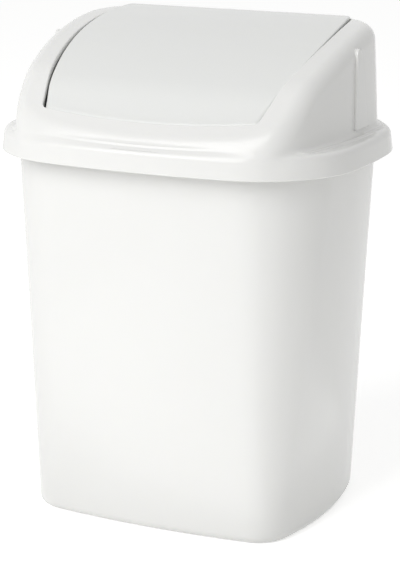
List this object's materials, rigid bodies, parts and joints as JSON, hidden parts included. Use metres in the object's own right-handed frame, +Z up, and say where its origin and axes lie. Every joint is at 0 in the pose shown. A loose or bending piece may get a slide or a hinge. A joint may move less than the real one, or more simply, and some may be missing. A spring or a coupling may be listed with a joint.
{
  "type": "swing-lid trash can",
  "caption": "Free-standing kitchen bin: tapered bucket with a flared rim, removable arched hood, and a pivoted flap that swings inwards and falls shut.",
  "frame": {"origin": "on the floor, at the middle of the bin", "axes": "+Z up, -Y towards the front of the bin, where the flap is pushed, +X to the right seen from the front"},
  "size_m": [0.34, 0.26, 0.4437],
  "materials": {
    "bucket_plastic": "injection-moulded white polypropylene, satin gloss",
    "hood_plastic": "injection-moulded white polypropylene, satin gloss",
    "flap_plastic": "injection-moulded white polypropylene, satin gloss"
  },
  "bodies": {
    "bucket": {"bucket": "bucket_plastic"},
    "lid_hood": {"lid_hood": "hood_plastic"},
    "swing_flap": {"swing_flap": "flap_plastic"}
  },
  "joints": [
    {"name": "lid_lift", "type": "slide", "parent": "bucket", "child": "lid_hood", "axis": [0, 0, 1], "range_m": [0, 0.08]},
    {"name": "flap_swing", "type": "hinge", "parent": "lid_hood", "child": "swing_flap", "pos_m": [0, 0.0135, 0.42], "axis": [1, 0, 0], "range_deg": [0, 75]}
  ]
}
